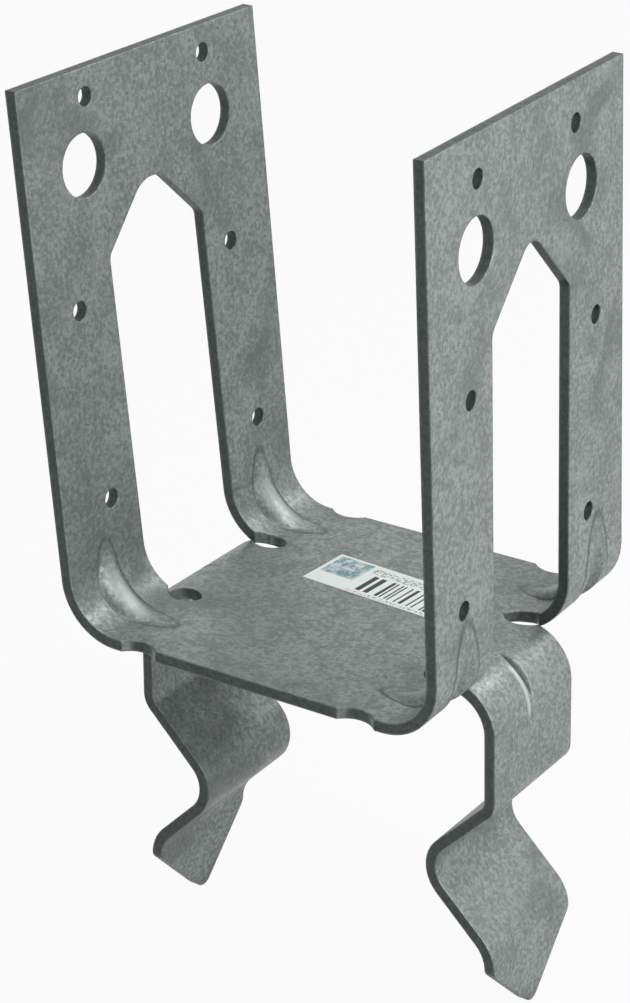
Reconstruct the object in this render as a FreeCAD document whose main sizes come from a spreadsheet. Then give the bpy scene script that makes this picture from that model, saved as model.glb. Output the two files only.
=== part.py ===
import FreeCAD, Part
import math
import os
import Sketcher
from FreeCAD import Placement, Rotation, Vector

# Timber post base: one strip of galvanised sheet folded into a saddle for a
# post. Each upright has a house-shaped window, and the metal of the window is
# still joined to the seat: it is folded down as an anchor leg for wet concrete.
# +X crosses the uprights, +Y runs along the strip's width, +Z is up, and the
# origin is the centre of the seat's underside, where the concrete ends. The
# sketches and tools are laid out from the seat's top face, one sheet higher.

doc = FreeCAD.newDocument("timber_post_base")
sizes = doc.addObject("Spreadsheet::Sheet", "sizes")
VALUES = [
    # the folded strip
    ("clear_width", 90.2, "between the uprights at the seat"),
    ("strip_width", 82.55, "width of the strip, front to rear"),
    ("sheet_thickness", 2.66, "12 gauge sheet"),
    ("bend_radius", 11.3, "inside radius of the bends at the seat"),
    ("left_lean", 4.05, "left upright sprung out from square, degrees"),
    ("right_lean", -1.0, "right upright sprung out from square, degrees"),
    ("left_twist", -0.73, "left bend out of square with the strip, degrees"),
    ("right_twist", 1.81, "right bend out of square with the strip, degrees"),
    ("left_sway", 0.49, "left upright's end over to the front, degrees"),
    ("right_sway", 1.07, "right upright's end over to the front, degrees"),
    ("left_end", 20.6, "sheared end of the left upright beyond its bolt holes"),
    ("right_end", 24.0, "sheared end of the right upright beyond its bolt holes"),
    # window and anchor leg
    ("window_width", 33.5, "opening between the two straps of an upright"),
    ("left_window_shoulder", 79.3, "where the left window starts to narrow, above the seat"),
    ("right_window_shoulder", 81.2, "where the right window starts to narrow"),
    ("gable_rise", 16.8, "from the shoulders to the sharp point of the gable"),
    ("left_peak_radius", 8.0, "rounding of the left window's point"),
    ("right_peak_radius", 5.0, "rounding of the right window's point"),
    ("shoulder_radius", 3.0, "rounding of the shoulders"),
    ("window_turn", 1.05, "the window's skew in the strip, degrees"),
    ("window_shift", 1.18, "the window's offset across the strip at the bend"),
    ("shear_gap", 0.3, "between a leg and the strap beside it"),
    ("leg_bend_radius", 9.0, "inside radius of the bend at a leg's root"),
    ("left_leg_shift", 0.0, "left leg further out than the uprights' foot"),
    ("right_leg_shift", 0.6, "right leg further out than the uprights' foot"),
    ("left_elbow_level", 28.5, "centre of the left leg's inward bend below the seat"),
    ("right_elbow_level", 27.8, "centre of the right leg's inward bend"),
    ("left_knee_level", 49.3, "centre of the left leg's knee below the seat"),
    ("right_knee_level", 48.3, "centre of the right leg's knee"),
    ("ankle_level", 71.0, "centre of the leg's last bend below the seat"),
    ("leg_slope", 45.0, "the leg's slanted runs from upright, degrees"),
    ("elbow_radius", 3.0, "inside radius of the inward bend"),
    ("knee_radius", 7.0, "inside radius of the knee"),
    ("ankle_radius", 8.3, "inside radius of the last bend"),
    ("leg_shoulder", 71.5, "where the leg starts to narrow, below the seat"),
    ("leg_tip_radius", 3.0, "rounding of the leg's point"),
    # holes
    ("bolt_hole", 14.3, "clearance hole for a half inch bolt"),
    ("bolt_spacing", 44.5, "between the two bolt holes"),
    ("bolt_level", 101.2, "bolt holes above the seat"),
    ("nail_hole", 4.4, "nail hole"),
    ("top_nail_rise", 14.65, "top pair of nail holes beyond the bolt holes"),
    ("top_nail_spacing", 41.1, "between the top pair"),
    ("top_nail_shift", 0.75, "stagger of the top pair"),
    ("mid_nail_level", 70.25, "middle pair above the seat"),
    ("mid_nail_spacing", 54.2, "between the middle pair"),
    ("mid_nail_shift", -1.6, "stagger of the middle pair"),
    ("low_nail_level", 25.0, "low pair above the seat"),
    ("low_nail_spacing", 54.8, "between the low pair"),
    ("low_nail_shift", 2.4, "stagger of the low pair"),
    # cuts in the seat
    ("relief_length", 9.2, "eye-shaped relief beside a leg's root"),
    ("relief_width", 6.2, "its width"),
    ("relief_past_bend", 6.0, "how far it runs into the bend"),
    ("notch_position", 28.5, "edge notch from the middle of the seat"),
    ("notch_length", 9.4, "along the edge"),
    ("notch_depth", 2.1, "into the edge"),
    # darts that stiffen the bends
    ("dart_reach", 17.2, "from the corner to where a dart's crest levels out"),
    ("dart_sink", 0.16, "how far the crest's arc dips under the flat sheet"),
    ("dart_section", 4.8, "radius of a dart's cross-section"),
    ("groove_depth", 1.9, "V-groove pressed across the bend of a leg"),
    ("groove_section", 3.0, "size of the three-sided tool that presses it"),
    ("groove_ridge", 1.2, "radius of the ridge behind the groove"),
    ("groove_ridge_rise", 1.0, "how far that ridge stands out of the bend"),
    # paper label
    ("label_length", 40.0, "paper label on the seat"),
    ("label_width", 14.76, "its width"),
    ("label_thickness", 0.1, "its thickness"),
    ("label_bed", 0.02, "how far it is bedded in the zinc"),
    ("label_turn", -3.9, "askew by this much, degrees"),
    ("label_corner_x", -17.9, "its front left corner"),
    ("label_corner_y", 6.4, "its front left corner"),
]
for row, (alias, value, meaning) in enumerate(VALUES, start=1):
    sizes.set("A%d" % row, alias)
    sizes.set("B%d" % row, str(value))
    sizes.set("C%d" % row, meaning)
    sizes.setAlias("B%d" % row, alias)
doc.recompute()


def size(alias):
    return float(sizes.get(alias))


SIDES = (("right", 1), ("left", -1))


# ---------------------------------------------------------------- sketch helpers

def origin_plane(body, role):
    for feature in body.Origin.OriginFeatures:
        if feature.Role == role:
            return feature
    raise RuntimeError("no plane " + role)


def new_sketch(body, name, plane):
    sketch = body.newObject("Sketcher::SketchObject", name)
    sketch.AttachmentSupport = [(origin_plane(body, plane), "")]
    sketch.MapMode = "FlatFace"
    return sketch


def dimension(sketch, name, constraint, expression):
    index = sketch.addConstraint(constraint)
    sketch.renameConstraint(index, name)
    sketch.setExpression("Constraints." + name, expression)


def unit(a, b):
    length = math.hypot(b[0] - a[0], b[1] - a[1])
    return ((b[0] - a[0]) / length, (b[1] - a[1]) / length)


def draw_loop(sketch, corners, radii):
    """Draw a closed outline; a corner with a radius becomes a tangent arc.

    Returns the line that leaves each corner and the arc at each corner."""
    count = len(corners)
    ends = []
    for i, corner in enumerate(corners):
        before = unit(corner, corners[i - 1])
        after = unit(corner, corners[(i + 1) % count])
        half = math.acos(before[0] * after[0] + before[1] * after[1]) / 2
        trim = radii[i] / math.tan(half) if radii[i] else 0.0
        first = (corner[0] + before[0] * trim, corner[1] + before[1] * trim)
        last = (corner[0] + after[0] * trim, corner[1] + after[1] * trim)
        ends.append((first, last, before, after, half))
    lines = []
    arcs = {}
    for i in range(count):
        start = ends[i][1]
        stop = ends[(i + 1) % count][0]
        segment = Part.LineSegment(Vector(start[0], start[1], 0), Vector(stop[0], stop[1], 0))
        lines.append(sketch.addGeometry(segment, False))
    for i in range(count):
        if not radii[i]:
            sketch.addConstraint(Sketcher.Constraint("Coincident", lines[i - 1], 2, lines[i], 1))
            continue
        first, last, before, after, half = ends[i]
        reach = radii[i] / math.sin(half)
        middle = ((before[0] + after[0]) / 2, (before[1] + after[1]) / 2)
        length = math.hypot(middle[0], middle[1])
        cx = corners[i][0] + middle[0] / length * reach
        cy = corners[i][1] + middle[1] / length * reach
        turn = before[0] * after[1] - before[1] * after[0]
        a1 = math.atan2(first[1] - cy, first[0] - cx)
        a2 = math.atan2(last[1] - cy, last[0] - cx)
        circle = Part.Circle(Vector(cx, cy, 0), Vector(0, 0, 1), radii[i])
        if turn < 0:
            arc = Part.ArcOfCircle(circle, a1, a2)
            arc_in, arc_out = 1, 2
        else:
            arc = Part.ArcOfCircle(circle, a2, a1)
            arc_in, arc_out = 2, 1
        arcs[i] = sketch.addGeometry(arc, False)
        sketch.addConstraint(Sketcher.Constraint("Tangent", lines[i - 1], 2, arcs[i], arc_in))
        sketch.addConstraint(Sketcher.Constraint("Tangent", arcs[i], arc_out, lines[i], 1))
    return lines, arcs


def place_level(sketch, name, geometry, point, level, expression):
    # the height of a point above or below the sketch's origin
    if level >= 0:
        constraint = Sketcher.Constraint("DistanceY", -1, 1, geometry, point, level)
    else:
        constraint = Sketcher.Constraint("DistanceY", geometry, point, -1, 1, -level)
    dimension(sketch, name, constraint, expression)


def place_across(sketch, name, geometry, point, across, expression):
    # the distance of a point to either side of the sketch's origin
    if across >= 0:
        constraint = Sketcher.Constraint("DistanceX", -1, 1, geometry, point, across)
    else:
        constraint = Sketcher.Constraint("DistanceX", geometry, point, -1, 1, -across)
    dimension(sketch, name, constraint, expression)


def pad(body, name, sketch, length, symmetric):
    feature = body.newObject("PartDesign::Pad", name)
    feature.Profile = sketch
    if symmetric:
        feature.SideType = "Symmetric"
    feature.setExpression("Length", length)
    return feature


def join(kind, name, shapes):
    feature = doc.addObject(kind, name)
    feature.Shapes = shapes
    return feature


def cut(name, base, tool):
    feature = doc.addObject("Part::Cut", name)
    feature.Base = base
    feature.Tool = tool
    return feature


# ---------------------------------------------------------------- folded strip

# Each upright is drawn from its own inner corner with the seat, x outwards, and
# its half of the saddle is then turned into place about that corner.

def corner_place(side, sign, tilt):
    """Placement of an upright's own frame; tilt adds its lean and its sway."""
    turn = "sizes.%s_twist" % side if sign > 0 else "180 + sizes.%s_twist" % side
    lean = "sizes.%s_lean" % side if tilt else "0"
    sway = ("%d * sizes.%s_sway" % (sign, side)) if tilt else "0"
    corner = "%d * sizes.clear_width / 2" % sign
    return "placement(vector(%s; 0; 0); rotation(%s; %s; %s))" % (corner, turn, lean, sway)


def draw_half(sketch, side, skin):
    """Half of the saddle's section: its inside, or its outside when skin is set."""
    lean = math.radians(size(side + "_lean"))
    grow = size("sheet_thickness") if skin else 0.0
    radius = size("bend_radius") + grow
    inward = size("clear_width") * 0.52
    top = (size("bolt_level") + size("left_end") + size("right_end")) * (1.0 if skin else 1.1)

    def wall(level):
        return (grow / math.cos(lean) + level * math.tan(lean), level)

    corners = [(-inward, -grow), wall(-grow), wall(top), (-inward, top)]
    lines, arcs = draw_loop(sketch, corners, [0, radius, 0, 0])
    grown = "sizes.bend_radius" + (" + sizes.sheet_thickness" if skin else "")
    dimension(sketch, "bend", Sketcher.Constraint("Radius", arcs[1], radius), grown)
    centre = -size("bend_radius") * math.tan(math.pi / 4 - lean / 2)
    reach = "sizes.bend_radius * tan(45 deg - sizes.%s_lean * 1 deg / 2)" % side
    place_across(sketch, "bend_centre", arcs[1], 3, centre, reach)
    place_level(sketch, "bend_rise", arcs[1], 3, size("bend_radius"), "sizes.bend_radius")
    sketch.addConstraint(Sketcher.Constraint("Horizontal", lines[0]))
    wall_angle = Sketcher.Constraint("Angle", lines[1], math.pi / 2 - lean)
    dimension(sketch, "wall_angle", wall_angle, "90 deg - sizes.%s_lean * 1 deg" % side)
    sketch.addConstraint(Sketcher.Constraint("Horizontal", lines[2]))
    sketch.addConstraint(Sketcher.Constraint("Vertical", lines[3]))
    place_across(sketch, "inward", lines[0], 1, -inward, "sizes.clear_width * 0.52")
    over = "(sizes.bolt_level + sizes.left_end + sizes.right_end) * " + ("1.0" if skin else "1.1")
    place_level(sketch, "top", lines[1], 2, top, over)


# A dart is pressed across the bend of each strap, midway between the window and
# the edge. Its crest is an arc that levels out on the seat and on the upright.

def dart_ring(name, side, edge, extra):
    ring = doc.addObject("Part::Torus", name)
    turn = Rotation(Vector(1, 0, 0), 90).multiply(Rotation(Vector(0, 0, 1), -90))
    ring.Placement = Placement(Vector(0, 0, 0), turn)
    ring.setExpression("Radius1", "sizes.dart_reach + sizes.dart_sink + sizes.dart_section" + extra)
    ring.setExpression("Radius2", "sizes.dart_section")
    ring.setExpression("Angle3", "90 deg - sizes.%s_lean * 1 deg" % side)
    inward = "-1 * sizes.dart_reach * tan(45 deg - sizes.%s_lean * 1 deg / 2)" % side
    ring.setExpression("Placement.Base.x", inward)
    ring.setExpression("Placement.Base.y", "%d * (sizes.strip_width + sizes.window_width) / 4" % edge)
    ring.setExpression("Placement.Base.z", "sizes.dart_reach")
    return ring


def group(name, members, place):
    feature = doc.addObject("Part::Compound", name)
    feature.Links = members
    feature.setExpression("Placement", place)
    return feature


recesses = []
halves = []
for side, sign in SIDES:
    solids = {}
    for kind, skin in (("outside", True), ("inside", False)):
        body = doc.addObject("PartDesign::Body", "%s_%s" % (side, kind))
        sketch = new_sketch(body, "%s_%s_section" % (side, kind), "XZ_Plane")
        draw_half(sketch, side, skin)
        pad(body, "%s_%s_pad" % (side, kind), sketch, "sizes.strip_width * " + ("1.2" if skin else "1.4"), True)
        body.setExpression("Placement", corner_place(side, sign, False))
        solids[kind] = body
    crests = []
    presses = []
    for word, edge in (("a", -1), ("b", 1)):
        crests.append(dart_ring("%s_crest_%s" % (side, word), side, edge, ""))
        presses.append(dart_ring("%s_press_%s" % (side, word), side, edge, " + sizes.sheet_thickness"))
    crest_group = group(side + "_crests", crests, corner_place(side, sign, False))
    recesses.append(group(side + "_recesses", presses, corner_place(side, sign, False)))
    space = cut(side + "_space", solids["inside"], crest_group)
    halves.append(cut(side + "_half", solids["outside"], space))

# the strip's edges: straight along the seat, and swayed a little up the uprights
seat_edge = doc.addObject("Part::Box", "seat_edge")
seat_edge.setExpression("Length", "sizes.clear_width - 2 * sizes.bend_radius")
seat_edge.setExpression("Width", "sizes.strip_width")
seat_edge.setExpression("Height", "4 * sizes.sheet_thickness")
seat_edge.setExpression("Placement.Base.x", "-0.5 * sizes.clear_width + sizes.bend_radius")
seat_edge.setExpression("Placement.Base.y", "-0.5 * sizes.strip_width")
seat_edge.setExpression("Placement.Base.z", "-3 * sizes.sheet_thickness")
edges = [seat_edge]
for side, sign in SIDES:
    edge = doc.addObject("Part::Box", side + "_edge")
    edge.setExpression("Length", "sizes.clear_width / 2 + sizes.bend_radius")
    edge.setExpression("Width", "sizes.strip_width")
    edge.setExpression("Height", "4 * sizes.sheet_thickness + sizes.bolt_level + sizes.%s_end" % side)
    edge.setExpression("Placement.Base.y", "-0.5 * sizes.strip_width")
    edge.setExpression("Placement.Base.z", "-4 * sizes.sheet_thickness")
    inner = "-1 * sizes.bend_radius" if sign > 0 else "-0.5 * sizes.clear_width"
    edge.setExpression("Placement.Base.x", inner)
    place = "placement(vector(%d * sizes.clear_width / 2; 0; 0); rotation(0; 0; sizes.%s_sway))" % (sign, side)
    edges.append(group(side + "_edges", [edge], place))
strip_edges = join("Part::MultiFuse", "strip_edges", edges)
whole = join("Part::MultiFuse", "halves", halves)
saddle = join("Part::MultiCommon", "saddle", [whole, strip_edges])


# ---------------------------------------------------------------- windows and legs

def draw_house(sketch, width, foot, shoulder, rise, peak, ease):
    """A gabled outline, symmetric about the sketch's upright axis.

    Each argument is a pair of a value and the expression that drives it."""
    half = width[0] / 2
    top = shoulder[0] + rise[0]
    corners = [(-half, foot[0]), (half, foot[0]), (half, shoulder[0]), (0, top), (-half, shoulder[0])]
    radii = [0, 0, ease[0], peak[0], ease[0]]
    lines, arcs = draw_loop(sketch, corners, radii)
    sketch.addConstraint(Sketcher.Constraint("Vertical", lines[1]))
    sketch.addConstraint(Sketcher.Constraint("Vertical", lines[4]))
    sketch.addConstraint(Sketcher.Constraint("Symmetric", lines[0], 1, lines[0], 2, -2))
    dimension(sketch, "width", Sketcher.Constraint("DistanceX", lines[0], 1, lines[0], 2, width[0]), width[1])
    place_level(sketch, "foot", lines[0], 1, foot[0], foot[1])
    for name, level, expression, pair in (
        ("right_shoulder", shoulder[0], shoulder[1], (lines[1], lines[2])),
        ("left_shoulder", shoulder[0], shoulder[1], (lines[3], lines[4])),
        ("peak", top, "(%s) + (%s)" % (shoulder[1], rise[1]), (lines[2], lines[3])),
    ):
        across = {"right_shoulder": half, "left_shoulder": -half, "peak": 0}[name]
        point = sketch.addGeometry(Part.Point(Vector(across, level, 0)), True)
        for line in pair:
            sketch.addConstraint(Sketcher.Constraint("PointOnObject", point, 1, line))
        place_level(sketch, name, point, 1, level, expression)
        if name == "peak":
            sketch.addConstraint(Sketcher.Constraint("PointOnObject", point, 1, -2))
    dimension(sketch, "right_ease", Sketcher.Constraint("Radius", arcs[2], ease[0]), ease[1])
    dimension(sketch, "left_ease", Sketcher.Constraint("Radius", arcs[4], ease[0]), ease[1])
    dimension(sketch, "peak_round", Sketcher.Constraint("Radius", arcs[3], peak[0]), peak[1])


def offset_path(path, distance):
    """The path's corners moved to its right-hand side by a distance."""
    moved = []
    for i, corner in enumerate(path):
        after = unit(path[i], path[i + 1]) if i + 1 < len(path) else unit(path[i - 1], path[i])
        before = unit(path[i - 1], path[i]) if i else after
        normal = (before[1] + after[1], -before[0] - after[0])
        scale = distance * 2 / (normal[0] ** 2 + normal[1] ** 2)
        moved.append((corner[0] + normal[0] * scale, corner[1] + normal[1] * scale))
    return moved


def draw_leg(sketch, side):
    """The leg's section: down from the seat, in to a knee, out again, and down."""
    thick = size("sheet_thickness")
    slope = math.radians(size("leg_slope"))
    start = size("clear_width") / 2 - 2 * size("bend_radius")
    face = size("clear_width") / 2 + thick + size(side + "_leg_shift")
    elbow_level = size(side + "_elbow_level")
    knee_level = size(side + "_knee_level")
    elbow = size("elbow_radius") + thick
    ankle = size("ankle_radius") + thick
    knee = size("knee_radius")
    elbow_corner = -elbow_level - elbow * math.tan(slope / 2)
    knee_reach = face - (knee_level + elbow_corner) * math.tan(slope)
    # with equal slopes the knee's corner is level with the centre of its arc
    ankle_corner = -size("ankle_level") + ankle * math.tan(slope / 2)
    foot = knee_reach + (-knee_level - ankle_corner) * math.tan(slope)
    end = -size("leg_shoulder") - size("gable_rise") * 1.25
    outer = [
        (start, 0),
        (face, 0),
        (face, elbow_corner),
        (knee_reach, -knee_level),
        (foot, ankle_corner),
        (foot, end),
    ]
    inner = offset_path(outer, thick)
    corners = outer + inner[::-1]
    bend = size("leg_bend_radius")
    outer_radii = [0, bend + thick, elbow, knee, ankle, 0]
    inner_radii = [0, bend, elbow - thick, knee + thick, ankle - thick, 0]
    lines, arcs = draw_loop(sketch, corners, outer_radii + inner_radii[::-1])
    grown = " + sizes.sheet_thickness"
    names = {
        1: ("sizes.leg_bend_radius" + grown, 10, "sizes.leg_bend_radius"),
        2: ("sizes.elbow_radius" + grown, 9, "sizes.elbow_radius"),
        3: ("sizes.knee_radius", 8, "sizes.knee_radius" + grown),
        4: ("sizes.ankle_radius" + grown, 7, "sizes.ankle_radius"),
    }
    for index, (outside, partner, inside) in names.items():
        radius = (outer_radii + inner_radii[::-1])[index]
        dimension(sketch, "outer_%d" % index, Sketcher.Constraint("Radius", arcs[index], radius), outside)
        radius = (outer_radii + inner_radii[::-1])[partner]
        dimension(sketch, "inner_%d" % index, Sketcher.Constraint("Radius", arcs[partner], radius), inside)
        sketch.addConstraint(Sketcher.Constraint("Coincident", arcs[index], 3, arcs[partner], 3))
    sketch.addConstraint(Sketcher.Constraint("Horizontal", lines[0]))
    sketch.addConstraint(Sketcher.Constraint("Vertical", lines[1]))
    sketch.addConstraint(Sketcher.Constraint("Vertical", lines[4]))
    sketch.addConstraint(Sketcher.Constraint("Horizontal", lines[5]))
    sketch.addConstraint(Sketcher.Constraint("Vertical", lines[6]))
    sketch.addConstraint(Sketcher.Constraint("Horizontal", lines[10]))
    sketch.addConstraint(Sketcher.Constraint("Vertical", lines[11]))
    sketch.addConstraint(Sketcher.Constraint("PointOnObject", lines[0], 1, -1))
    place_across(sketch, "start", lines[0], 1, start, "sizes.clear_width / 2 - 2 * sizes.bend_radius")
    reach = "sizes.clear_width / 2 + sizes.sheet_thickness + sizes.%s_leg_shift" % side
    place_across(sketch, "face", lines[1], 1, face, reach)
    place_level(sketch, "elbow", arcs[2], 3, -elbow_level, "sizes.%s_elbow_level" % side)
    place_level(sketch, "knee", arcs[3], 3, -knee_level, "sizes.%s_knee_level" % side)
    place_level(sketch, "ankle", arcs[4], 3, -size("ankle_level"), "sizes.ankle_level")
    place_level(sketch, "foot", lines[4], 2, end, "sizes.leg_shoulder + sizes.gable_rise * 1.25")
    inward = Sketcher.Constraint("Angle", lines[2], -math.pi / 2 - slope)
    dimension(sketch, "inward", inward, "-90 deg - sizes.leg_slope * 1 deg")
    outward = Sketcher.Constraint("Angle", lines[3], -math.pi / 2 + slope)
    dimension(sketch, "outward", outward, "-90 deg + sizes.leg_slope * 1 deg")


def turned_body(name, sign):
    body = doc.addObject("PartDesign::Body", name)
    body.Placement = Placement(Vector(0, 0, 0), Rotation(Vector(0, 0, 1), 0 if sign > 0 else 180))
    return body


windows = []
legs = []
for side, sign in SIDES:
    opening = turned_body("window_" + side, sign)
    sketch = new_sketch(opening, "window_outline_" + side, "YZ_Plane")
    draw_house(
        sketch,
        (size("window_width"), "sizes.window_width"),
        (-size("bend_radius"), "sizes.bend_radius"),
        (size(side + "_window_shoulder"), "sizes.%s_window_shoulder" % side),
        (size("gable_rise"), "sizes.gable_rise"),
        (size(side + "_peak_radius"), "sizes.%s_peak_radius" % side),
        (size("shoulder_radius"), "sizes.shoulder_radius"),
    )
    sketch.setExpression("AttachmentOffset.Base.x", "-1 * sizes.window_shift")
    sketch.setExpression("AttachmentOffset.Base.z", "sizes.clear_width / 2 - sizes.bend_radius")
    skew = "%d * sizes.%s_sway - sizes.window_turn" % (sign, side)
    sketch.setExpression("AttachmentOffset.Rotation.Angle", skew)
    pad(opening, "window_pad_" + side, sketch, "sizes.clear_width / 2", False)
    windows.append(opening)

    strip = turned_body("leg_strip_" + side, sign)
    sketch = new_sketch(strip, "leg_section_" + side, "XZ_Plane")
    draw_leg(sketch, side)
    pad(strip, "leg_pad_" + side, sketch, "sizes.window_width * 1.5", True)

    outline = turned_body("leg_outline_" + side, sign)
    sketch = new_sketch(outline, "leg_shape_" + side, "YZ_Plane")
    draw_house(
        sketch,
        (size("window_width") - 2 * size("shear_gap"), "sizes.window_width - 2 * sizes.shear_gap"),
        (-size("bend_radius"), "sizes.bend_radius"),
        (size("leg_shoulder"), "sizes.leg_shoulder"),
        (size("gable_rise"), "sizes.gable_rise"),
        (size("leg_tip_radius"), "sizes.leg_tip_radius"),
        (size("shoulder_radius"), "sizes.shoulder_radius"),
    )
    sketch.setExpression("AttachmentOffset.Base.x", "-1 * sizes.window_shift")
    sketch.setExpression("AttachmentOffset.Rotation.Angle", "180 + sizes.window_turn")
    pad(outline, "leg_shape_pad_" + side, sketch, "sizes.clear_width", False)
    leg = doc.addObject("Part::MultiCommon", "leg_" + side)
    leg.Shapes = [strip, outline]
    legs.append(leg)

window_group = join("Part::MultiFuse", "windows", windows)
straps = cut("straps", saddle, window_group)


# ---------------------------------------------------------------- leg grooves

def signed(sign, expression):
    return expression if sign > 0 else "-1 * (%s)" % expression


grooves = []
ridges = []
for side, sign in SIDES:
    # both lie at 45 degrees across the leg's bend, whose centre is below the seat
    tool = doc.addObject("Part::Prism", "groove_" + side)
    tool.Polygon = 3
    turn = Rotation(Vector(0, 0, 1), 0 if sign > 0 else 180)
    tool.Placement = Placement(Vector(0, 0, 0), turn.multiply(Rotation(Vector(0, 1, 0), 135)))
    tool.setExpression("Circumradius", "sizes.groove_section")
    tool.setExpression("Height", "sizes.leg_bend_radius * 3")
    axis = "(sizes.leg_bend_radius + sizes.sheet_thickness - sizes.groove_depth + sizes.groove_section)"
    centre = "sizes.clear_width / 2 + sizes.%s_leg_shift - sizes.leg_bend_radius" % side
    across = centre + " + (%s - sizes.leg_bend_radius * 1.5) * cos(45 deg)" % axis
    tool.setExpression("Placement.Base.x", signed(sign, across))
    tool.setExpression("Placement.Base.y", signed(sign, "-1 * sizes.window_shift"))
    below = "-1 * (sizes.leg_bend_radius + sizes.sheet_thickness)"
    tool.setExpression("Placement.Base.z", below + " + (%s + sizes.leg_bend_radius * 1.5) * sin(45 deg)" % axis)
    grooves.append(tool)

    ridge = doc.addObject("Part::Cylinder", "ridge_" + side)
    ridge.Placement = Placement(Vector(0, 0, 0), Rotation(Vector(0, 1, 0), 135 * sign))
    ridge.setExpression("Radius", "sizes.groove_ridge")
    ridge.setExpression("Height", "sizes.leg_bend_radius * 1.08")
    axis = "(sizes.leg_bend_radius - sizes.groove_ridge_rise + sizes.groove_ridge)"
    across = centre + " + (%s - sizes.leg_bend_radius * 0.54) * cos(45 deg)" % axis
    ridge.setExpression("Placement.Base.x", signed(sign, across))
    ridge.setExpression("Placement.Base.y", signed(sign, "-1 * sizes.window_shift"))
    ridge.setExpression("Placement.Base.z", below + " + (%s + sizes.leg_bend_radius * 0.54) * sin(45 deg)" % axis)
    ridges.append(ridge)


# ---------------------------------------------------------------- holes

# The holes are square to their upright, and placed along it and across it.

def punched(name, diameter, y, z):
    hole = doc.addObject("Part::Cylinder", name)
    hole.Placement = Placement(Vector(0, 0, 0), Rotation(Vector(0, 1, 0), 90))
    hole.setExpression("Radius", diameter + " / 2")
    hole.setExpression("Height", "6 * sizes.sheet_thickness")
    hole.setExpression("Placement.Base.x", "-2.5 * sizes.sheet_thickness")
    hole.setExpression("Placement.Base.y", y)
    hole.setExpression("Placement.Base.z", z)
    return hole


ROWS = (
    ("bolt", "sizes.bolt_hole", "0", "sizes.bolt_level"),
    ("top_nail", "sizes.nail_hole", "sizes.top_nail_shift", "sizes.bolt_level + sizes.top_nail_rise"),
    ("mid_nail", "sizes.nail_hole", "sizes.mid_nail_shift", "sizes.mid_nail_level"),
    ("low_nail", "sizes.nail_hole", "sizes.low_nail_shift", "sizes.low_nail_level"),
)
hole_groups = []
for side, sign in SIDES:
    holes = []
    for row, diameter, shift, level in ROWS:
        for word, half in (("a", "-0.5"), ("b", "0.5")):
            # nails are staggered, so that those from facing uprights miss each other
            y = "%s * sizes.%s_spacing - %s" % (half, row, shift)
            holes.append(punched("%s_%s_%s" % (side, row, word), diameter, y, level))
    hole_groups.append(group(side + "_holes", holes, corner_place(side, sign, True)))


# ---------------------------------------------------------------- cuts in the seat

def relief(name, side, sign, edge):
    """An eye-shaped hole at the end of the cut between a leg and a strap."""
    body = doc.addObject("PartDesign::Body", name)
    sketch = new_sketch(body, name + "_outline", "XY_Plane")
    half = size("relief_length") / 2
    rise = size("relief_width") / 2
    radius = (half ** 2 + rise ** 2) / (2 * rise)
    spread = math.asin(half / radius)
    upper = Part.Circle(Vector(0, rise - radius, 0), Vector(0, 0, 1), radius)
    lower = Part.Circle(Vector(0, radius - rise, 0), Vector(0, 0, 1), radius)
    quarter = math.pi / 2
    sketch.addGeometry(Part.ArcOfCircle(upper, quarter - spread, quarter + spread), False)
    sketch.addGeometry(Part.ArcOfCircle(lower, 3 * quarter - spread, 3 * quarter + spread), False)
    sketch.addConstraint(Sketcher.Constraint("Coincident", 0, 1, 1, 2))
    sketch.addConstraint(Sketcher.Constraint("Coincident", 0, 2, 1, 1))
    sketch.addConstraint(Sketcher.Constraint("PointOnObject", 0, 1, -1))
    sketch.addConstraint(Sketcher.Constraint("Symmetric", 0, 1, 0, 2, -1, 1))
    span = Sketcher.Constraint("DistanceX", 0, 2, 0, 1, 2 * half)
    dimension(sketch, "span", span, "sizes.relief_length")
    curve = "(sizes.relief_length ^ 2 + sizes.relief_width ^ 2) / (4 * sizes.relief_width)"
    dimension(sketch, "upper_arc", Sketcher.Constraint("Radius", 0, radius), curve)
    dimension(sketch, "lower_arc", Sketcher.Constraint("Radius", 1, radius), curve)
    pad(body, name + "_pad", sketch, "sizes.sheet_thickness * 4", True)
    across = "sizes.clear_width / 2 - sizes.bend_radius + sizes.relief_past_bend - sizes.relief_length / 2"
    body.setExpression("Placement.Base.x", signed(sign, across))
    away = "%d * (sizes.window_width - sizes.shear_gap) / 2 - %d * sizes.window_shift" % (edge, sign)
    body.setExpression("Placement.Base.y", away)
    return body


def notch(name, sign, edge):
    """A shallow round notch in the seat's edge."""
    tool = doc.addObject("Part::Cylinder", name)
    radius = "(sizes.notch_length ^ 2 / 4 + sizes.notch_depth ^ 2) / (2 * sizes.notch_depth)"
    tool.setExpression("Radius", radius)
    tool.setExpression("Height", "sizes.sheet_thickness * 4")
    tool.setExpression("Placement.Base.x", "%d * sizes.notch_position" % sign)
    away = "%d * (sizes.strip_width / 2 - sizes.notch_depth + %s)" % (edge, radius)
    tool.setExpression("Placement.Base.y", away)
    tool.setExpression("Placement.Base.z", "-2 * sizes.sheet_thickness")
    return tool


seat_cuts = []
for side, sign in SIDES:
    for face, edge in (("front", -1), ("rear", 1)):
        seat_cuts.append(relief("relief_%s_%s" % (side, face), side, sign, edge))
        seat_cuts.append(notch("notch_%s_%s" % (side, face), sign, edge))


# ---------------------------------------------------------------- paper label

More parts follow.
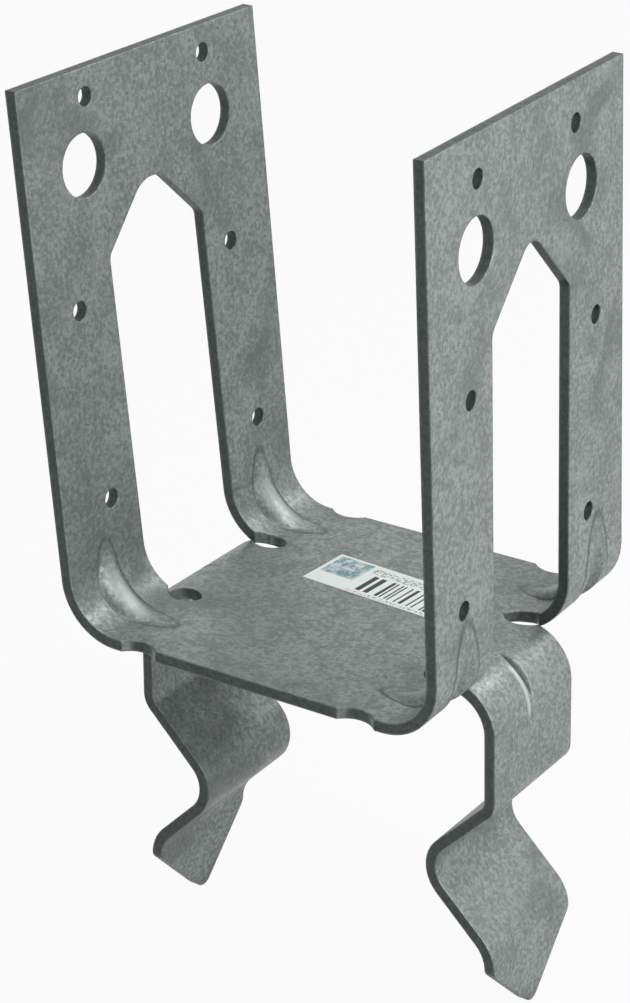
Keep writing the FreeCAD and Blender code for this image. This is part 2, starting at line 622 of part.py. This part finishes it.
def label_box(name, level):
    box = doc.addObject("Part::Box", name)
    box.Placement = Placement(Vector(0, 0, 0), Rotation(Vector(0, 0, 1), size("label_turn")))
    box.setExpression("Length", "sizes.label_length")
    box.setExpression("Width", "sizes.label_width")
    box.setExpression("Height", "sizes.label_thickness")
    box.setExpression("Placement.Base.x", "sizes.label_corner_x")
    box.setExpression("Placement.Base.y", "sizes.label_corner_y")
    box.setExpression("Placement.Base.z", level)
    box.setExpression("Placement.Rotation.Angle", "sizes.label_turn")
    return box


label_bed = label_box("label_bed", "-1 * sizes.label_bed")


# ---------------------------------------------------------------- finished pieces

joined = join("Part::MultiFuse", "straps_and_legs", [straps] + legs + ridges)
tools = doc.addObject("Part::Compound", "press_tools")
tools.Links = recesses + grooves + hole_groups + seat_cuts + [label_bed]
post_base = cut("post_base", joined, tools)
post_base.Refine = True
post_base.setExpression("Placement.Base.z", "sizes.sheet_thickness")

label = label_box("label", "sizes.sheet_thickness - sizes.label_bed")
doc.recompute()

NODES = [("post_base", post_base), ("label", label)]
for name, item in NODES:
    item.Label = name

for item in doc.Objects:
    if "Invalid" in item.State or "Error" in item.State:
        raise RuntimeError(item.Name + " did not build")
for name, item in NODES:
    shape = item.Shape
    if shape.isNull() or not shape.isValid() or len(shape.Solids) != 1:
        raise RuntimeError(name + " is not one valid solid")
os.makedirs("parts", exist_ok=True)
for name, item in NODES:
    item.Shape.exportStep("parts/%s.step" % name)
    print(name, round(item.Shape.Volume, 1), item.Shape.BoundBox)
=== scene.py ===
import math

import bpy
from mathutils import Matrix, Vector


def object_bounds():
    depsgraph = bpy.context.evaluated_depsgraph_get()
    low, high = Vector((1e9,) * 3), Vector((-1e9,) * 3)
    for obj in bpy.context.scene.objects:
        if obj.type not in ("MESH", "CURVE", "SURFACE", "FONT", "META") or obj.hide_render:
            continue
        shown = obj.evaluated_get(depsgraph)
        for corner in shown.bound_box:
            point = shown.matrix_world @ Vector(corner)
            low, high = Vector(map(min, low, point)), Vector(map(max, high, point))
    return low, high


bl_info = {
    "name": "Timber post base",
    "version": (1, 0, 0),
    "blender": (4, 5, 0),
    "location": "View3D > Sidebar > Post base",
    "description": "Finishes for a folded galvanised post base and its paper label",
    "category": "Object",
}

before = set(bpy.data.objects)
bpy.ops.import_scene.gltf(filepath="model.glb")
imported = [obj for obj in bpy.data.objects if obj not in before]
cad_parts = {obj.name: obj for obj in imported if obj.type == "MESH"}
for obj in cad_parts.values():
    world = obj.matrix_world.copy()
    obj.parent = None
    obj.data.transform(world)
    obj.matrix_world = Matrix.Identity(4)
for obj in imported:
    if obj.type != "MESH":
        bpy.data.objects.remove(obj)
CAD_BOX = [list(corner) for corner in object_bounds()]
LOWEST = CAD_BOX[0][2]
MM = 0.001


def linear(code):
    """An sRGB hex colour as linear red, green, blue and alpha."""
    channels = [int(code[i:i + 2], 16) / 255 for i in (1, 3, 5)]
    return [c / 12.92 if c <= 0.04045 else ((c + 0.055) / 1.055) ** 2.4 for c in channels] + [1.0]


def add(tree, kind, links=None, **settings):
    """Adds a node. links maps an input to an output socket or a constant."""
    node = tree.nodes.new(kind)
    for key, value in settings.items():
        setattr(node, key, value)
    for key, value in (links or {}).items():
        if isinstance(value, bpy.types.NodeSocket):
            tree.links.new(value, node.inputs[key])
        else:
            node.inputs[key].default_value = value
    return node


def blank(name):
    """A new material with a bare Principled shader on its output."""
    material = bpy.data.materials.new(name)
    material.use_nodes = True
    tree = material.node_tree
    tree.nodes.clear()
    shader = add(tree, "ShaderNodeBsdfPrincipled")
    add(tree, "ShaderNodeOutputMaterial", {"Surface": shader.outputs["BSDF"]})
    return material, tree, shader


def dress(node, material):
    """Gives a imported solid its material."""
    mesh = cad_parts[node].data
    mesh.materials.clear()
    mesh.materials.append(material)


# ------------------------------------------------------------ settings

class GalvanisedSettings(bpy.types.PropertyGroup):
    zinc: bpy.props.FloatVectorProperty(
        name="Zinc", description="Dull zinc between the flecks",
        subtype="COLOR", size=4, min=0, max=1, default=linear("#8e9592"))
    fleck: bpy.props.FloatVectorProperty(
        name="Fleck", description="Darker flecks in the zinc",
        subtype="COLOR", size=4, min=0, max=1, default=linear("#707774"))
    stain: bpy.props.FloatVectorProperty(
        name="Stain", description="Grey storage stains, wide and faint",
        subtype="COLOR", size=4, min=0, max=1, default=linear("#626966"))
    cut: bpy.props.FloatVectorProperty(
        name="Sheared edge", description="Steel where the sheet was sheared",
        subtype="COLOR", size=4, min=0, max=1, default=linear("#414846"))
    # painted highlight: the pale colour laid on the darts' crests and on the grooves' front lips
    painted_crest_highlight: bpy.props.FloatVectorProperty(
        name="Burnish", description="Zinc polished by the press on the darts' crests",
        subtype="COLOR", size=4, min=0, max=1, default=linear("#c2c9c6"))
    fleck_size: bpy.props.FloatProperty(
        name="Fleck size", description="Typical width of a fleck",
        unit="LENGTH", default=1.1 * MM, min=0.2 * MM, max=10 * MM)
    cloud_size: bpy.props.FloatProperty(
        name="Cloud size", description="Typical width of the paler and darker clouds",
        unit="LENGTH", default=9 * MM, min=2 * MM, max=80 * MM)
    stain_size: bpy.props.FloatProperty(
        name="Stain size", description="Typical width of a storage stain",
        unit="LENGTH", default=26 * MM, min=5 * MM, max=100 * MM)
    roll_over: bpy.props.FloatProperty(
        name="Roll-over", description="Rounding of the sheared edges",
        unit="LENGTH", default=0.6 * MM, min=0, max=1 * MM)
    roughness: bpy.props.FloatProperty(
        name="Roughness", description="Roughness of the clean zinc", default=0.4, min=0, max=1)


class LabelSettings(bpy.types.PropertyGroup):
    paper: bpy.props.FloatVectorProperty(
        name="Paper", description="The label's paper",
        subtype="COLOR", size=4, min=0, max=1, default=linear("#eef4f2"))
    tint: bpy.props.FloatVectorProperty(
        name="Tint", description="The printed field of colour at the label's left end",
        subtype="COLOR", size=4, min=0, max=1, default=linear("#7796a0"))
    ink: bpy.props.FloatVectorProperty(
        name="Ink", description="The printed bars",
        subtype="COLOR", size=4, min=0, max=1, default=linear("#2f3435"))
    corner: bpy.props.FloatVectorProperty(
        name="Corner", description="Front left corner of the label",
        subtype="TRANSLATION", unit="LENGTH", size=3, default=(-17.9 * MM, 6.4 * MM, 0))
    turn: bpy.props.FloatProperty(
        name="Turn", description="How far askew the label lies",
        subtype="ANGLE", default=math.radians(-3.9))
    bar: bpy.props.FloatProperty(
        name="Bar", description="Width of the thinnest bar",
        unit="LENGTH", default=0.45 * MM, min=0.1 * MM, max=2 * MM)


class StageSettings(bpy.types.PropertyGroup):
    floor: bpy.props.FloatVectorProperty(
        name="Floor", description="Colour of the floor",
        subtype="COLOR", size=4, min=0, max=1, default=linear("#c9cbca"))
    key: bpy.props.FloatProperty(
        name="Key light", description="Power of the light close on the right",
        unit="POWER", default=2.0, min=0)
    rear: bpy.props.FloatProperty(
        name="Rear light", description="Power of the light that glances off the bends",
        unit="POWER", default=3, min=0)
    overhead: bpy.props.FloatProperty(
        name="Overhead light", description="Power of the large light above",
        unit="POWER", default=7, min=0)
    fill: bpy.props.FloatProperty(
        name="Fill", description="Strength of the grey surroundings", default=0.16, min=0)
    whiteness: bpy.props.FloatProperty(
        name="Whiteness", description="How far the floor is lost in the white backdrop",
        subtype="FACTOR", default=0.94, min=0, max=1)


# ------------------------------------------------------------ galvanised sheet

# a bend's darts run slantwise over the corner of seat and upright
DART_SIDE = 29 * MM  # a dart's middle, from the strip's middle line
DART_HALF_WIDTH = 4.3 * MM
DART_CORNER = 47.8 * MM  # a dart's middle, as its distance out plus its level
DART_HALF_LENGTH = 18 * MM
# a groove runs down each leg's bend, a little to the right seen from the seat's middle
GROOVE_SIDE = 1.2 * MM  # a groove's middle, from the strip's middle line
GROOVE_LIP = 1.7 * MM  # its front lip, from its own middle
GROOVE_LEVEL = -4.5 * MM  # the middle of the bright stretch of the lip

SOFT = {"interpolation_type": "SMOOTHSTEP"}


def area(tree, across, along, left, right, near, far):
    """1 where across lies between left and right and along between near and far, else 0."""
    wide = add(tree, "ShaderNodeMath", {
        0: across, 1: (left + right) / 2, 2: (right - left) / 2}, operation="COMPARE")
    deep = add(tree, "ShaderNodeMath", {
        0: along, 1: (near + far) / 2, 2: (far - near) / 2}, operation="COMPARE")
    both = add(tree, "ShaderNodeMath", {0: wide.outputs[0], 1: deep.outputs[0]}, operation="MULTIPLY")
    return both.outputs[0]


def sheared_faces(tree, spot, facing):
    """1 on the faces that a shear or a punch cut through the sheet, else 0."""
    look = add(tree, "ShaderNodeSeparateXYZ", {0: facing})
    at = add(tree, "ShaderNodeSeparateXYZ", {0: spot})
    off = add(tree, "ShaderNodeMath", {0: at.outputs["Y"]}, operation="ABSOLUTE").outputs[0]
    level = at.outputs["Z"]

    # edges across the strip, but not the flanks of the darts and of the grooves
    across = add(tree, "ShaderNodeMath", {0: look.outputs["Y"]}, operation="ABSOLUTE")
    across = add(tree, "ShaderNodeMapRange", {
        "Value": across.outputs[0], "From Min": 0.8, "From Max": 0.96}, **SOFT)
    darts = area(tree, off, level, 20.5 * MM, 38 * MM, -8 * MM, 25 * MM)
    grooves = area(tree, off, level, 0, 11 * MM, -40 * MM, 60 * MM)
    pressed = add(tree, "ShaderNodeMath", {0: darts, 1: grooves}, operation="MAXIMUM")
    sides = add(tree, "ShaderNodeMath", {0: across.outputs[0], 1: pressed.outputs[0]},
                operation="SUBTRACT", use_clamp=True)

    # round the holes and gables, and at the ends of the uprights and legs, but not along the bends
    along = add(tree, "ShaderNodeMath", {0: look.outputs["X"]}, operation="ABSOLUTE")
    along = add(tree, "ShaderNodeMapRange", {
        "Value": along.outputs[0], "From Min": 0.6, "From Max": 0.28}, **SOFT)
    bends = add(tree, "ShaderNodeMath", {0: level, 1: -18 * MM, 2: 42 * MM}, operation="COMPARE")
    away = add(tree, "ShaderNodeMath", {0: along.outputs[0], 1: bends.outputs[0]},
               operation="SUBTRACT", use_clamp=True)
    cut = add(tree, "ShaderNodeMath", {0: sides.outputs[0], 1: away.outputs[0]}, operation="MAXIMUM")
    return cut.outputs[0]


def dart_marks(tree, spot, facing):
    """Distance from the middle of the nearest dart, 1 at the rim of the tool
    that pressed it, and whether the surface is on the dart's proud side."""
    at = add(tree, "ShaderNodeSeparateXYZ", {0: spot})
    look = add(tree, "ShaderNodeSeparateXYZ", {0: facing})
    out = add(tree, "ShaderNodeMath", {0: at.outputs["X"]}, operation="ABSOLUTE")
    off = add(tree, "ShaderNodeMath", {0: at.outputs["Y"]}, operation="ABSOLUTE")
    run = add(tree, "ShaderNodeMath", {0: out.outputs[0], 1: at.outputs["Z"]}, operation="ADD")
    run = add(tree, "ShaderNodeMapRange", {
        "Value": run.outputs[0], "From Min": DART_CORNER,
        "From Max": DART_CORNER + DART_HALF_LENGTH}, clamp=False)
    side = add(tree, "ShaderNodeMapRange", {
        "Value": off.outputs[0], "From Min": DART_SIDE,
        "From Max": DART_SIDE + DART_HALF_WIDTH}, clamp=False)
    flat = add(tree, "ShaderNodeCombineXYZ", {0: run.outputs[0], 1: side.outputs[0]})
    reach = add(tree, "ShaderNodeVectorMath", {0: flat.outputs[0]}, operation="LENGTH")

    # a dart stands proud on the inside of its bend, and there the surface faces in and up
    sign = add(tree, "ShaderNodeMath", {0: at.outputs["X"]}, operation="SIGN")
    outward = add(tree, "ShaderNodeMath", {0: sign.outputs[0], 1: look.outputs["X"]}, operation="MULTIPLY")
    proud = add(tree, "ShaderNodeMath", {0: look.outputs["Z"], 1: outward.outputs[0]},
                operation="GREATER_THAN")
    # the punch leaves a mark a third larger on the outside than on the inside
    larger = add(tree, "ShaderNodeMath", {0: proud.outputs[0], 1: 0.27, 2: 0.73}, operation="MULTIPLY_ADD")
    reach = add(tree, "ShaderNodeMath", {0: reach.outputs["Value"], 1: larger.outputs[0]},
                operation="MULTIPLY")
    return reach.outputs[0], proud.outputs[0]


def groove_lip_highlight(tree, spot):
    """Painted highlight along the front lip of the groove down each leg's bend: how bright it is at each
    point.
    """
    at = add(tree, "ShaderNodeSeparateXYZ", {0: spot})
    sign = add(tree, "ShaderNodeMath", {0: at.outputs["X"]}, operation="SIGN")
    off = add(tree, "ShaderNodeMath", {0: sign.outputs[0], 1: GROOVE_SIDE, 2: at.outputs["Y"]},
              operation="MULTIPLY_ADD")
    lip = add(tree, "ShaderNodeMath", {0: off.outputs[0], 1: GROOVE_LIP}, operation="ADD")
    lip = add(tree, "ShaderNodeMath", {0: lip.outputs[0]}, operation="ABSOLUTE")
    lip = add(tree, "ShaderNodeMapRange", {
        "Value": lip.outputs[0], "From Min": 0.9 * MM, "From Max": 0.2 * MM, "To Max": 0.8}, **SOFT)
    level = add(tree, "ShaderNodeMath", {0: at.outputs["Z"], 1: GROOVE_LEVEL}, operation="SUBTRACT")
    level = add(tree, "ShaderNodeMath", {0: level.outputs[0]}, operation="ABSOLUTE")
    level = add(tree, "ShaderNodeMapRange", {
        "Value": level.outputs[0], "From Min": 6.5 * MM, "From Max": 3.5 * MM}, **SOFT)
    painted_lip = add(tree, "ShaderNodeMath", {0: lip.outputs[0], 1: level.outputs[0]}, operation="MULTIPLY")
    return painted_lip.outputs[0]


def galvanised_sheet(s):
    """Hot-dip galvanised steel sheet, folded after dipping. Its zinc has gone
    dull: a soft metallic grey, finely mottled, with faint clouds and storage
    stains. Where the sheet was sheared it is dark, with a rolled-over rim."""
    material, tree, shader = blank("hot_dip_galvanised_sheet")
    spot = add(tree, "ShaderNodeTexCoord").outputs["Object"]

    cloud = add(tree, "ShaderNodeTexNoise", {
        "Vector": spot, "Scale": 1 / s.cloud_size, "Detail": 3.0, "Roughness": 0.6, "Distortion": 0.5})
    stain = add(tree, "ShaderNodeTexNoise", {
        "Vector": spot, "Scale": 1 / s.stain_size, "Detail": 4.0, "Roughness": 0.62, "Distortion": 0.8})
    fleck = add(tree, "ShaderNodeTexNoise", {
        "Vector": spot, "Scale": 1 / s.fleck_size, "Detail": 2.0, "Roughness": 0.5, "Distortion": 0.4})
    # zinc dust, too fine to show at its real size, so drawn half a millimetre wide
    dust = add(tree, "ShaderNodeTexNoise", {
        "Vector": spot, "Scale": 1 / (0.5 * MM), "Detail": 1.0, "Roughness": 0.5})

    # flecks are crowded in the dark clouds and rare in the pale ones
    crowd = add(tree, "ShaderNodeMath", {0: cloud.outputs["Fac"], 1: 0.5, 2: fleck.outputs["Fac"]},
                operation="MULTIPLY_ADD")
    flecks = add(tree, "ShaderNodeMapRange", {
        "Value": crowd.outputs[0], "From Min": 0.96, "From Max": 0.56}, **SOFT)
    stains = add(tree, "ShaderNodeMapRange", {
        "Value": stain.outputs["Fac"], "From Min": 0.5, "From Max": 0.3, "To Max": 0.75}, **SOFT)
    zinc = add(tree, "ShaderNodeMix", {0: flecks.outputs[0], 6: s.zinc, 7: s.fleck}, data_type="RGBA")
    stained = add(tree, "ShaderNodeMix", {0: stains.outputs[0], 6: zinc.outputs[2], 7: s.stain},
                  data_type="RGBA")
    fine = add(tree, "ShaderNodeMapRange", {
        "Value": dust.outputs["Fac"], "From Min": 0.25, "From Max": 0.75,
        "To Min": 0.86, "To Max": 1.14}, **SOFT)
    dusty = add(tree, "ShaderNodeVectorMath", {0: stained.outputs[2], "Scale": fine.outputs[0]},
                operation="SCALE")

    # painted shade: an occlusion test darkens the colour in the inside corners, the hollows of the bends and
    # round the darts, and lifts it a little on the open crests
    corner_occlusion = add(tree, "ShaderNodeAmbientOcclusion", {"Distance": 9 * MM}, samples=8)
    corner_shade = add(tree, "ShaderNodeMapRange", {
        "Value": corner_occlusion.outputs["AO"], "From Min": 0.45, "From Max": 0.95,
        "To Min": 0.62, "To Max": 1.04}, **SOFT)
    corner_shaded = add(tree, "ShaderNodeVectorMath", {0: dusty.outputs[0], "Scale": corner_shade.outputs[0]},
                 operation="SCALE")

    # painted highlight: a pale colour on the crests of the darts, where they would catch the light, and
    # painted shade: a dark line along each dart's rim
    rolled = add(tree, "ShaderNodeBevel", {"Radius": s.roll_over}, samples=8)
    reach, proud = dart_marks(tree, spot, rolled.outputs[0])
    crest_highlight_mask = add(tree, "ShaderNodeMapRange", {
        "Value": reach, "From Min": 0.85, "From Max": 0.2, "To Max": 0.5}, **SOFT)
    crest_highlight_mask = add(tree, "ShaderNodeMath", {0: crest_highlight_mask.outputs[0], 1: proud}, operation="MULTIPLY")
    # the painted highlight on the grooves' front lips joins the painted highlight on the crests
    crest_highlight_mask = add(tree, "ShaderNodeMath", {0: crest_highlight_mask.outputs[0], 1: groove_lip_highlight(tree, spot)},
                operation="MAXIMUM")
    # painted shade: a dark line in the sheared-edge colour along the rim of each dart
    rim = add(tree, "ShaderNodeMath", {0: reach, 1: 1.0}, operation="SUBTRACT")
    rim = add(tree, "ShaderNodeMath", {0: rim.outputs[0]}, operation="ABSOLUTE")
    rim = add(tree, "ShaderNodeMapRange", {
        "Value": rim.outputs[0], "From Min": 0.1, "From Max": 0.0, "To Max": 0.62}, **SOFT)
    highlighted = add(tree, "ShaderNodeMix", {0: crest_highlight_mask.outputs[0], 6: corner_shaded.outputs[0], 7: s.painted_crest_highlight},
                    data_type="RGBA")
    with_painted_light = add(tree, "ShaderNodeMix", {0: rim.outputs[0], 6: highlighted.outputs[2], 7: s.cut},
                 data_type="RGBA")

    # a sheared face is torn only over its middle: both of its rims are drawn over with zinc
    drawn = add(tree, "ShaderNodeBevel", {"Radius": s.roll_over * 1.8}, samples=8)
    torn = add(tree, "ShaderNodeTexNoise", {
        "Vector": spot, "Scale": 1 / (1.2 * MM), "Detail": 3.0, "Roughness": 0.7})
    streaks = add(tree, "ShaderNodeMapRange", {
        "Value": torn.outputs["Fac"], "From Min": 0.35, "From Max": 0.65,
        "To Min": 0.8, "To Max": 1.3}, **SOFT)
    bare = add(tree, "ShaderNodeVectorMath", {0: s.cut[:3], "Scale": streaks.outputs[0]},
               operation="SCALE")
    colour = add(tree, "ShaderNodeMix", {
        0: sheared_faces(tree, spot, drawn.outputs[0]), 6: with_painted_light.outputs[2], 7: bare.outputs[0]},
        data_type="RGBA")
    tree.links.new(colour.outputs[2], shader.inputs["Base Color"])

    # the flecks are a little rougher than the clean zinc
    rough = add(tree, "ShaderNodeMapRange", {
        "Value": flecks.outputs[0], "To Min": s.roughness, "To Max": s.roughness + 0.1}, **SOFT)
    tree.links.new(rough.outputs[0], shader.inputs["Roughness"])
    shader.inputs["Metallic"].default_value = 0.5

    # the dipped surface ripples over about 5 mm, and the press left a shallow step round each dart
    ripple = add(tree, "ShaderNodeTexNoise", {
        "Vector": spot, "Scale": 1 / (5 * MM), "Detail": 2.0, "Roughness": 0.5})
    relief = add(tree, "ShaderNodeMath", {0: fleck.outputs["Fac"], 1: 0.2, 2: ripple.outputs["Fac"]},
                 operation="MULTIPLY_ADD")
    bump = add(tree, "ShaderNodeBump", {
        "Strength": 0.3, "Distance": 0.12 * MM, "Height": relief.outputs[0], "Normal": rolled.outputs[0]})
    step = add(tree, "ShaderNodeMapRange", {
        "Value": reach, "From Min": 1.08, "From Max": 0.9}, **SOFT)
    pressed = add(tree, "ShaderNodeBump", {
        "Strength": 0.7, "Distance": 0.35 * MM, "Height": step.outputs[0], "Normal": bump.outputs[0]})
    tree.links.new(pressed.outputs[0], shader.inputs["Normal"])
    return material


class POSTBASE_OT_sheet(bpy.types.Operator):
    """Finish the folded sheet as dull galvanised steel"""
    bl_idname = "postbase.sheet"
    bl_label = "Galvanised sheet"

    def execute(self, context):
        dress("post_base", galvanised_sheet(context.scene.postbase_sheet))
        return {"FINISHED"}


# ------------------------------------------------------------ paper label

def printed_paper(s):
    """Uncoated sticker paper, printed with bars and a field of colour. It is
    matt, slightly cockled, and the print is thin, so some paper shows through."""
    material, tree, shader = blank("printed_sticker_paper")
    place = add(tree, "ShaderNodeTexCoord")
    flat = add(tree, "ShaderNodeMapping", {
        "Vector": place.outputs["Object"], "Location": s.corner[:], "Rotation": (0, 0, s.turn)},
        vector_type="TEXTURE")
    spot = flat.outputs[0]
    axis = add(tree, "ShaderNodeSeparateXYZ", {0: spot})
    x = axis.outputs["X"]
    y = axis.outputs["Y"]

    # bars: each step of the thinnest bar's width is inked or not by chance
    step = add(tree, "ShaderNodeMath", {0: x, 1: s.bar}, operation="DIVIDE")
    step = add(tree, "ShaderNodeMath", {0: step.outputs[0]}, operation="FLOOR")
    chance = add(tree, "ShaderNodeTexWhiteNoise", {"W": step.outputs[0]}, noise_dimensions="1D")
    inked = add(tree, "ShaderNodeMath", {0: chance.outputs["Value"], 1: 0.52}, operation="GREATER_THAN")
    barred = area(tree, x, y, 12.5 * MM, 39 * MM, 1.9 * MM, 9.8 * MM)
    bars = add(tree, "ShaderNodeMath", {0: barred, 1: inked.outputs[0]}, operation="MULTIPLY")

    # rows of dots above and below the bars
    dots = add(tree, "ShaderNodeTexNoise", {
        "Vector": spot, "Scale": 1 / (0.7 * MM), "Detail": 1.0, "Roughness": 0.5})
    dotted = add(tree, "ShaderNodeMath", {0: dots.outputs["Fac"], 1: 0.53}, operation="GREATER_THAN")
    rows = add(tree, "ShaderNodeMath", {
        0: area(tree, x, y, 11.5 * MM, 39 * MM, 10.6 * MM, 13.2 * MM),
        1: area(tree, x, y, 11.5 * MM, 39 * MM, 0.5 * MM, 1.4 * MM)}, operation="MAXIMUM")
    rows = add(tree, "ShaderNodeMath", {0: rows.outputs[0], 1: dotted.outputs[0]}, operation="MULTIPLY")
    ink = add(tree, "ShaderNodeMath", {0: rows.outputs[0], 1: 0.6, 2: bars.outputs[0]},
              operation="MULTIPLY_ADD")

    # the field of colour, unevenly printed
    field = area(tree, x, y, 1 * MM, 10.5 * MM, 5.2 * MM, 14 * MM)
    patch = add(tree, "ShaderNodeTexNoise", {
        "Vector": spot, "Scale": 1 / (1.8 * MM), "Detail": 2.0, "Roughness": 0.6})
    patchy = add(tree, "ShaderNodeMapRange", {
        "Value": patch.outputs["Fac"], "From Min": 0.4, "From Max": 0.6, "To Min": 0.35, "To Max": 1.0})
    tinted = add(tree, "ShaderNodeMath", {0: field, 1: patchy.outputs[0]}, operation="MULTIPLY")

    paper = add(tree, "ShaderNodeMix", {0: tinted.outputs[0], 6: s.paper, 7: s.tint}, data_type="RGBA")
    printed = add(tree, "ShaderNodeMix", {0: ink.outputs[0], 6: paper.outputs[2], 7: s.ink},
                  data_type="RGBA")
    tree.links.new(printed.outputs[2], shader.inputs["Base Color"])
    shader.inputs["Roughness"].default_value = 0.7

    # the paper cockles over about 5 mm
    cockle = add(tree, "ShaderNodeTexNoise", {
        "Vector": spot, "Scale": 1 / (5 * MM), "Detail": 1.0, "Roughness": 0.4})
    bump = add(tree, "ShaderNodeBump", {
        "Strength": 0.3, "Distance": 0.1 * MM, "Height": cockle.outputs["Fac"]})
    tree.links.new(bump.outputs[0], shader.inputs["Normal"])
    return material


class POSTBASE_OT_label(bpy.types.Operator):
    """Print the paper label on the seat"""
    bl_idname = "postbase.label"
    bl_label = "Paper label"

    def execute(self, context):
        dress("label", printed_paper(context.scene.postbase_label))
        return {"FINISHED"}


# ------------------------------------------------------------ stage

def area_light(name, power, size, place, target):
    """A square soft light that faces its target."""
    light = bpy.data.lights.new(name, "AREA")
    light.size = size
    light.energy = power
    lamp = bpy.data.objects.new(name, light)
    bpy.context.collection.objects.link(lamp)
    lamp.location = place
    lamp.rotation_euler = (Vector(target) - Vector(place)).to_track_quat("-Z", "Y").to_euler()


def seen_white(tree):
    """1 for what the eye sees, and what it sees in metal or through glass."""
    path = add(tree, "ShaderNodeLightPath")
    seen = add(tree, "ShaderNodeMath", {0: path.outputs["Is Camera Ray"], 1: path.outputs["Is Glossy Ray"]},
               operation="MAXIMUM")
    return add(tree, "ShaderNodeMath", {0: seen.outputs[0], 1: path.outputs["Is Transmission Ray"]},
               operation="MAXIMUM").outputs[0]


def studio(s):
    """A matt floor that runs into a white backdrop, and three soft lights."""
    mesh = bpy.data.meshes.new("floor")
    half = 4.0  # metres to each side
    corners = [(-half, -half), (half, -half), (half, half), (-half, half)]
    mesh.from_pydata([(x, y, LOWEST) for x, y in corners], [], [(0, 1, 2, 3)])
    floor = bpy.data.objects.new("floor", mesh)
    bpy.context.collection.objects.link(floor)
    paint, tree, shader = blank("matt_white_floor")
    shader.inputs["Base Color"].default_value = s.floor
    shader.inputs["Roughness"].default_value = 0.9
    # to the eye and in the zinc the floor runs into the white backdrop, and keeps part of the shadow
    glow = add(tree, "ShaderNodeEmission", {"Color": (1, 1, 1, 1), "Strength": 1.0})
    share = add(tree, "ShaderNodeMath", {0: seen_white(tree), 1: s.whiteness}, operation="MULTIPLY")
    both = add(tree, "ShaderNodeMixShader", {0: share.outputs[0], 1: shader.outputs[0], 2: glow.outputs[0]})
    tree.links.new(both.outputs[0], tree.nodes["Material Output"].inputs["Surface"])
    mesh.materials.append(paint)

    world = bpy.data.worlds.new("studio")
    world.use_nodes = True
    tree = world.node_tree
    tree.nodes.clear()
    room = add(tree, "ShaderNodeBackground", {"Color": (1, 1, 1, 1), "Strength": s.fill})
    backdrop = add(tree, "ShaderNodeBackground", {"Color": (1, 1, 1, 1), "Strength": 1.0})
    mix = add(tree, "ShaderNodeMixShader", {0: seen_white(tree), 1: room.outputs[0], 2: backdrop.outputs[0]})
    add(tree, "ShaderNodeOutputWorld", {"Surface": mix.outputs[0]})
    bpy.context.scene.world = world

    area_light("key", s.key, 0.4, (0.45, -0.12, 0.2), (0.05, 0, 0.03))
    area_light("rear", s.rear, 0.35, (0.4, 0.75, 0.85), (0, 0, 0))
    area_light("overhead", s.overhead, 0.8, (0.1, 0.1, 1.35), (0, 0, 0.02))


def camera():
    """Looks down at the object from the front right."""
    azimuth, elevation, roll = math.radians(31.23), math.radians(21.87), math.radians(0.5625)
    right = Vector((math.cos(azimuth), math.sin(azimuth), 0))
    back = Vector((math.sin(azimuth) * math.cos(elevation), -math.cos(azimuth) * math.cos(elevation),
                   math.sin(elevation)))
    up = back.cross(right)
    x = right * math.cos(roll) + up * math.sin(roll)
    y = up * math.cos(roll) - right * math.sin(roll)
    lens = bpy.data.cameras.new("camera")
    lens.lens = 102.6
    lens.sensor_width = 36
    lens.shift_x = -0.1667
    lens.shift_y = -0.128
    lens.clip_start = 0.01
    eye = bpy.data.objects.new("camera", lens)
    bpy.context.collection.objects.link(eye)
    aim = Matrix((x, y, back)).transposed().to_4x4()
    eye.matrix_world = Matrix.Translation((0.32395, -0.47867, 0.29114)) @ aim
    bpy.context.scene.camera = eye


class POSTBASE_OT_stage(bpy.types.Operator):
    """Set out the floor, the lights and the camera"""
    bl_idname = "postbase.stage"
    bl_label = "Stage"

    def execute(self, context):
        studio(context.scene.postbase_stage)
        camera()
        context.scene.view_settings.view_transform = "Standard"
        return {"FINISHED"}


# ------------------------------------------------------------ panel and registration

class POSTBASE_PT_panel(bpy.types.Panel):
    bl_idname = "POSTBASE_PT_panel"
    bl_label = "Post base"
    bl_space_type = "VIEW_3D"
    bl_region_type = "UI"
    bl_category = "Post base"

    def draw(self, context):
        scene = context.scene
        for group, operator in (
            (scene.postbase_sheet, "postbase.sheet"),
            (scene.postbase_label, "postbase.label"),
            (scene.postbase_stage, "postbase.stage"),
        ):
            box = self.layout.box()
            for key in group.bl_rna.properties.keys():
                if key not in ("name", "rna_type"):
                    box.prop(group, key)
            box.operator(operator)


CLASSES = (
    GalvanisedSettings, LabelSettings, StageSettings,
    POSTBASE_OT_sheet, POSTBASE_OT_label, POSTBASE_OT_stage, POSTBASE_PT_panel,
)


def register():
    for item in CLASSES:
        bpy.utils.register_class(item)
    bpy.types.Scene.postbase_sheet = bpy.props.PointerProperty(type=GalvanisedSettings)
    bpy.types.Scene.postbase_label = bpy.props.PointerProperty(type=LabelSettings)
    bpy.types.Scene.postbase_stage = bpy.props.PointerProperty(type=StageSettings)


def unregister():
    del bpy.types.Scene.postbase_stage
    del bpy.types.Scene.postbase_label
    del bpy.types.Scene.postbase_sheet
    for item in reversed(CLASSES):
        bpy.utils.unregister_class(item)


def main():
    register()
    bpy.ops.postbase.sheet()
    bpy.ops.postbase.label()
    bpy.ops.postbase.stage()


if __name__ == "__main__":
    main()
